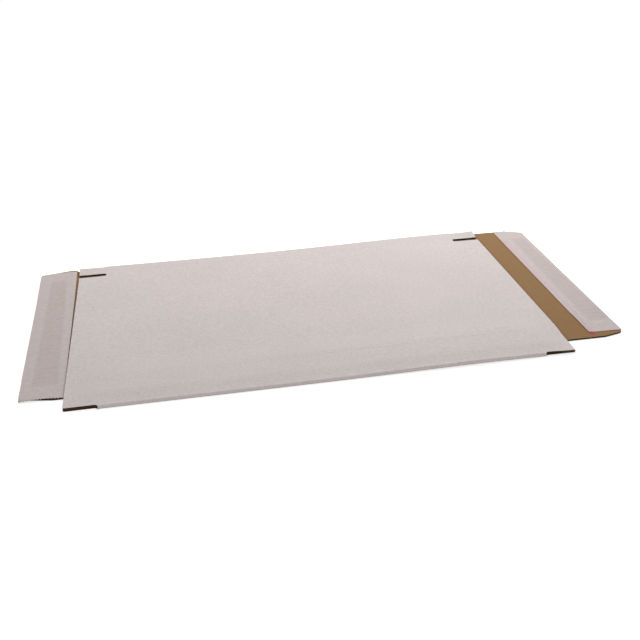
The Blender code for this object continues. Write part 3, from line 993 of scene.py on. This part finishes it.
def finish_named(name, build):
    """The material of that name, built the first time that a piece asks for it."""
    ready = bpy.data.materials.get(name)
    if ready:
        return ready
    made = bpy.data.materials.new(name)
    made.use_nodes = True
    tree = made.node_tree
    build(tree, tree.nodes["Principled BSDF"])
    return made


def finish_surface(tree, shader, base, rough, normal, shine):
    """The surface's colour, roughness and normal, and how strongly it mirrors."""
    feed(tree, shader, {
        "Base Color": base, "Roughness": rough, "Normal": normal, "Specular IOR Level": shine})


# Materials

def white_liner():
    """White-lined paper: faint mottling, tiny brown specks, and flutes that just print through."""
    def build(tree, shader):
        colours = bpy.context.scene.mailer_colours
        where = object_coordinates(tree)
        grain = effect(tree, "Paper grain", paper_grain_group, {"Vector": where, "Mottle": 2.2 * MM})
        flutes = effect(tree, "Washboard", washboard_group, {"Vector": where})
        specks = effect(tree, "Specks", specks_group, {
            "Vector": where, "Spacing": 8.0 * MM, "Size": 0.9 * MM})
        base = shaded(tree, opaque(colours.white), (grain["Tone"], 0.40), (grain["Streak"], 0.22))
        speck = math_node(tree, "MULTIPLY", specks["Mask"], 0.5)
        base = mix_colours(tree, speck, base, (0.20, 0.13, 0.08, 1.0))
        normal = bumped(tree, grain["Height"], 0.035 * MM)
        normal = bumped(tree, flutes["Height"], 0.02 * MM, normal)
        rough = math_node(tree, "MULTIPLY_ADD", grain["Streak"], 0.3, 0.68)
        finish_surface(tree, shader, base, rough, normal, 0.12)
    return finish_named("White liner", build)


def kraft_liner():
    """Brown kraft paper: long fibres, cloudy mottling and a few dark bits of bark."""
    def build(tree, shader):
        colours = bpy.context.scene.mailer_colours
        where = object_coordinates(tree)
        grain = effect(tree, "Paper grain", paper_grain_group, {
            "Vector": where, "Mottle": 3.0 * MM, "Fibre": 0.5 * MM, "Stretch": 5.0})
        flutes = effect(tree, "Washboard", washboard_group, {"Vector": where})
        specks = effect(tree, "Specks", specks_group, {
            "Vector": where, "Spacing": 4.0 * MM, "Size": 0.8 * MM})
        base = shaded(tree, opaque(colours.kraft), (grain["Tone"], 0.22), (grain["Streak"], 0.30))
        speck = math_node(tree, "MULTIPLY", specks["Mask"], 0.6)
        base = mix_colours(tree, speck, base, (0.10, 0.05, 0.02, 1.0))
        normal = bumped(tree, grain["Height"], 0.05 * MM)
        normal = bumped(tree, flutes["Height"], 0.03 * MM, normal)
        rough = math_node(tree, "MULTIPLY_ADD", grain["Streak"], 0.3, 0.75)
        finish_surface(tree, shader, base, rough, normal, 0.08)
    return finish_named("Kraft liner", build)


def cut_board_and_shade():
    """Raw board edge and bare flutes: darker kraft with torn fibres, darkened further as painted shade for
    the notches, slots and gaps where these edges sit in shadow.
    """
    def build(tree, shader):
        colours = bpy.context.scene.mailer_colours
        where = object_coordinates(tree)
        grain = effect(tree, "Paper grain", paper_grain_group, {
            "Vector": where, "Mottle": 1.2 * MM, "Fibre": 0.25 * MM, "Stretch": 1.0})
        # The edge colour carries painted shade: it is kept near black so that the edges in the notches and
        # slots look shadowed
        base = shaded(tree, opaque(colours.cut_edge_and_shade), (grain["Tone"], 0.8), (grain["Streak"], 0.8))
        normal = bumped(tree, grain["Height"], 0.1 * MM)
        rough = math_node(tree, "MULTIPLY_ADD", grain["Streak"], 0.2, 0.85)
        finish_surface(tree, shader, base, rough, normal, 0.05)
    return finish_named("Cut board and shade", build)


def liner_paper():
    """Thin release paper: a little glossy, darker over the adhesive and pink over the tape."""
    def build(tree, shader):
        colours = bpy.context.scene.mailer_colours
        where = object_coordinates(tree)
        grain = effect(tree, "Paper grain", paper_grain_group, {
            "Vector": where, "Mottle": 3.5 * MM, "Fibre": 0.8 * MM, "Stretch": 2.0})
        glue = add_node(tree, "ShaderNodeAttribute", attribute_name="glue_below").outputs["Fac"]
        tape = add_node(tree, "ShaderNodeAttribute", attribute_name="tape_below").outputs["Fac"]
        base = mix_colours(tree, glue, opaque(colours.paper), opaque(colours.paper_on_glue))
        base = mix_colours(tree, tape, base, opaque(colours.paper_on_tape))
        base = shaded(tree, base, (grain["Tone"], 0.40), (grain["Streak"], 0.25))
        normal = bumped(tree, grain["Height"], 0.10 * MM)
        rough = math_node(tree, "MULTIPLY_ADD", grain["Tone"], 0.4, 0.5)
        finish_surface(tree, shader, base, rough, normal, 0.2)
    return finish_named("Release paper", build)


def adhesive_film():
    """Pressure-sensitive adhesive: milky, with a satin skin and small pinholes."""
    def build(tree, shader):
        colours = bpy.context.scene.mailer_colours
        where = object_coordinates(tree)
        grain = effect(tree, "Paper grain", paper_grain_group, {
            "Vector": where, "Mottle": 1.5 * MM, "Fibre": 0.5 * MM, "Stretch": 1.0})
        base = shaded(tree, opaque(colours.adhesive), (grain["Tone"], 0.15), (grain["Streak"], 0.1))
        rough = math_node(tree, "MULTIPLY_ADD", grain["Tone"], 0.3, 0.35)
        finish_surface(tree, shader, base, rough, bumped(tree, grain["Height"], 0.02 * MM), 0.5)
    return finish_named("Adhesive film", build)


def red_film():
    """Red tear tape: smooth plastic film, a little cloudy."""
    def build(tree, shader):
        colours = bpy.context.scene.mailer_colours
        where = object_coordinates(tree)
        grain = effect(tree, "Paper grain", paper_grain_group, {
            "Vector": where, "Mottle": 2.0 * MM, "Fibre": 0.4 * MM, "Stretch": 1.0})
        base = shaded(tree, opaque(colours.tape), (grain["Tone"], 0.3), (grain["Streak"], 0.1))
        rough = math_node(tree, "MULTIPLY_ADD", grain["Tone"], 0.2, 0.5)
        finish_surface(tree, shader, base, rough, bumped(tree, grain["Height"], 0.01 * MM), 0.1)
    return finish_named("Red film", build)


def board_finishes():
    """The board's materials: outside, inside and cut edges."""
    return [white_liner(), kraft_liner(), cut_board_and_shade()]


# Stage

def floor_finish(tree, shader):
    """Pale floor: plain diffuse for the light that it throws back, and for the camera and reflections
    the same with a glow under it, so that it is white apart from the object's shadow."""
    cloudy = add_node(tree, "ShaderNodeTexNoise", {"Vector": object_coordinates(tree), "Scale": 3.0})
    pale = shaded(tree, FLOOR_TONE, (math_node(tree, "SUBTRACT", cloudy.outputs[0], 0.5), 0.02))
    lit = add_node(tree, "ShaderNodeBsdfDiffuse", {"Color": pale})
    glow = add_node(tree, "ShaderNodeEmission", {"Color": (1.0, 1.0, 1.0, 1.0), "Strength": FLOOR_GLOW})
    both = add_node(tree, "ShaderNodeAddShader", {0: lit.outputs[0], 1: glow.outputs[0]})
    plain = add_node(tree, "ShaderNodeBsdfDiffuse", {"Color": FLOOR_TONE})
    inputs = {0: seen_directly(tree), 1: plain.outputs[0], 2: both.outputs[0]}
    chosen = add_node(tree, "ShaderNodeMixShader", inputs)
    tree.nodes.remove(shader)
    tree.links.new(chosen.outputs[0], tree.nodes["Material Output"].inputs["Surface"])


def add_floor():
    """A square plane just below the board."""
    corners = FLOOR_REACH * np.array([[-1.0, -1.0], [1.0, -1.0], [1.0, 1.0], [-1.0, 1.0]])
    vertices = np.column_stack([corners, np.full(4, -FLOOR_DROP)])
    mesh = bpy.data.meshes.new("floor")
    mesh.from_pydata(vertices, [], [(0, 1, 2, 3)])
    mesh.materials.append(finish_named("Floor", floor_finish))
    floor = bpy.data.objects.new("floor", mesh)
    bpy.context.scene.collection.objects.link(floor)


def add_lamp(name, place, size, power):
    """A square lamp that looks from its place to the middle of the tube."""
    light = bpy.data.lights.new(name, "AREA")
    light.size = size
    light.energy = power
    lamp = bpy.data.objects.new(name, light)
    turn = (-Vector(place)).to_track_quat("-Z", "Y").to_matrix().to_4x4()
    lamp.matrix_world = Matrix.Translation(place) @ turn
    bpy.context.scene.collection.objects.link(lamp)


def light_world(strength):
    """An even sky that is white where the camera, a reflection or a clear thing looks at it."""
    world = bpy.data.worlds.new("Studio")
    world.use_nodes = True
    tree = world.node_tree
    level = math_node(tree, "MULTIPLY_ADD", seen_directly(tree), 1.0 - strength, strength)
    background = tree.nodes["Background"]
    background.inputs["Color"].default_value = (1.0, 1.0, 1.0, 1.0)
    tree.links.new(level, background.inputs["Strength"])
    bpy.context.scene.world = world


def add_camera():
    """The photograph's camera: it looks along its heading and down by its dip, and is rolled about that."""
    heading, dip = CAMERA_HEADING, CAMERA_DIP
    ahead = Vector((np.sin(heading) * np.cos(dip), np.cos(heading) * np.cos(dip), -np.sin(dip)))
    level = Vector((np.cos(heading), -np.sin(heading), 0.0))
    above = level.cross(ahead)
    right = level * np.cos(CAMERA_ROLL) + above * np.sin(CAMERA_ROLL)
    top = above * np.cos(CAMERA_ROLL) - level * np.sin(CAMERA_ROLL)
    lens = bpy.data.cameras.new("photo_camera")
    lens.sensor_width = 36.0
    lens.lens = CAMERA_LENS
    lens.shift_x = CAMERA_SHIFT_X
    camera = bpy.data.objects.new("photo_camera", lens)
    turn = Matrix((right, top, -ahead)).transposed().to_4x4()
    camera.matrix_world = Matrix.Translation(CAMERA_PLACE) @ turn
    bpy.context.scene.collection.objects.link(camera)
    bpy.context.scene.camera = camera


# Operators

class MAILER_OT_sleeve(bpy.types.Operator):
    """Make the folded tube of board"""

    bl_idname = "mailer.sleeve"
    bl_label = "Folded tube"

    def execute(self, context):
        sizes = context.scene.mailer_board
        sheet = TubeSheet(sizes)
        fine = sheet.plan(0.0, True, PANEL_END)
        coarse = sheet.plan(CORE_INSET, False, PANEL_END - FLUTE_DEPTH)
        slabs = board_slabs(fine, coarse, sheet.place, sheet.flute_plans(), 0, sizes)
        slabs.append((burr_slab(sizes), (0, 0, 0)))
        piece = add_piece("sleeve_board", slabs, board_finishes())
        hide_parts("box_sleeve")
        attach(piece, "sleeve")
        return {"FINISHED"}


class MAILER_OT_left_flap(bpy.types.Operator):
    """Make the left closure flap, lying flat out from the tube beyond its crease"""

    bl_idname = "mailer.left_flap"
    bl_label = "Left flap"

    def execute(self, context):
        tip = LEFT_HINGE.x - LEFT_FLAP_LOW.x
        stops = [-CREASE_SETBACK - ROOT_LAP, -CREASE_HALF, CREASE_HALF, LEFT_STRAIGHT, tip]
        outline = (LEFT_STRAIGHT, LEFT_TAPER, LEFT_TAPER, LEFT_CORNER)
        piece = flap_board("left_flap_board", LEFT_HINGE, -1, stops, [2, 16, 6, 18], outline)
        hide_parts("left_closure_flap")
        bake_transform(piece)
        return {"FINISHED"}


class MAILER_OT_right_flap(bpy.types.Operator):
    """Make the right end wall and the right closure flap, lying flat out from the tube beyond their creases
    """

    bl_idname = "mailer.right_flap"
    bl_label = "Right wall and flap"

    def execute(self, context):
        seam = RIGHT_HINGE.x - SEAM_SETBACK - WALL_HINGE.x
        stops = [-CREASE_SETBACK - ROOT_LAP, -CREASE_HALF, CREASE_HALF, seam]
        wall = flap_board("right_wall_board", WALL_HINGE, 1, stops, [2, 16, 10])
        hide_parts("right_end_wall")
        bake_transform(wall)
        tip = RIGHT_FLAP_HIGH.x - RIGHT_HINGE.x
        stops = [-SEAM_SETBACK, -CREASE_HALF, CREASE_HALF, RIGHT_STRAIGHT, tip]
        outline = (RIGHT_STRAIGHT, RIGHT_FRONT_TAPER, RIGHT_BACK_TAPER, RIGHT_CORNER)
        flap = flap_board("right_flap_board", RIGHT_HINGE, 1, stops, [1, 16, 8, 14], outline)
        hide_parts("right_closure_flap")
        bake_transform(flap)
        return {"FINISHED"}


class MAILER_OT_adhesive(bpy.types.Operator):
    """Make the two adhesive strips and the tear tape"""

    bl_idname = "mailer.adhesive"
    bl_label = "Adhesive and tear tape"

    def execute(self, context):
        strips = (
            ("left_adhesive", LEFT_GLUE_LOW, LEFT_GLUE_HIGH, LEFT_HINGE, -1, "left_flap"),
            ("right_adhesive", RIGHT_GLUE_LOW, RIGHT_GLUE_HIGH, RIGHT_HINGE, 1, "right_flap"),
        )
        for name, low, high, hinge, side, body in strips:
            film = adhesive_slab(low, high, hinge, side)
            strip = add_piece(name + "_film", [(film, (0, 0, 0))], [adhesive_film()])
            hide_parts(name + "_strip")
            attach(strip, body)
        tape = add_piece("tear_tape_film", [(tape_slab(), (0, 0, 0))], [red_film()])
        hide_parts("tear_tape")
        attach(tape, "right_flap")
        return {"FINISHED"}


class MAILER_OT_liners(bpy.types.Operator):
    """Make the two peel-off liners"""

    bl_idname = "mailer.liners"
    bl_label = "Peel-off liners"

    def execute(self, context):
        left = add_liner("left_liner_paper", "left_release_liner", left_liner())
        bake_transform(left)
        right = add_liner("right_liner_paper", "right_release_liner", right_liner())
        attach(right, "right_flap")
        return {"FINISHED"}


class MAILER_OT_stage(bpy.types.Operator):
    """Make the floor, the lamps, the sky and the camera"""

    bl_idname = "mailer.stage"
    bl_label = "Stage"

    def execute(self, context):
        add_floor()
        for lamp in LAMPS:
            add_lamp(*lamp)
        light_world(SKY)
        add_camera()
        context.scene.view_settings.view_transform = "Standard"
        return {"FINISHED"}


class MAILER_PT_panel(bpy.types.Panel):
    """Lists the steps that make the mailer box"""

    bl_idname = "MAILER_PT_panel"
    bl_label = "Letterbox mailer box"
    bl_space_type = "VIEW_3D"
    bl_region_type = "UI"
    bl_category = "Mailer"

    def draw(self, context):
        for step in STEPS:
            self.layout.operator(step.bl_idname)
        scene = context.scene
        for settings in (scene.mailer_board, scene.mailer_paper, scene.mailer_colours):
            box = self.layout.box()
            for name in settings.bl_rna.properties.keys():
                if name not in ("rna_type", "name"):
                    box.prop(settings, name)


STEPS = (
    MAILER_OT_sleeve,
    MAILER_OT_left_flap,
    MAILER_OT_right_flap,
    MAILER_OT_adhesive,
    MAILER_OT_liners,
    MAILER_OT_stage,
)
CLASSES = (BoardSizes, PaperSizes, FinishColours, *STEPS, MAILER_PT_panel)


def register():
    for each in CLASSES:
        bpy.utils.register_class(each)
    bpy.types.Scene.mailer_board = PointerProperty(type=BoardSizes)
    bpy.types.Scene.mailer_paper = PointerProperty(type=PaperSizes)
    bpy.types.Scene.mailer_colours = PointerProperty(type=FinishColours)


def unregister():
    del bpy.types.Scene.mailer_board
    del bpy.types.Scene.mailer_paper
    del bpy.types.Scene.mailer_colours
    for each in reversed(CLASSES):
        bpy.utils.unregister_class(each)


def main():
    register()
    bpy.ops.mailer.sleeve()
    bpy.ops.mailer.left_flap()
    bpy.ops.mailer.right_flap()
    bpy.ops.mailer.adhesive()
    bpy.ops.mailer.liners()
    bpy.ops.mailer.stage()


if __name__ == "__main__":
    main()
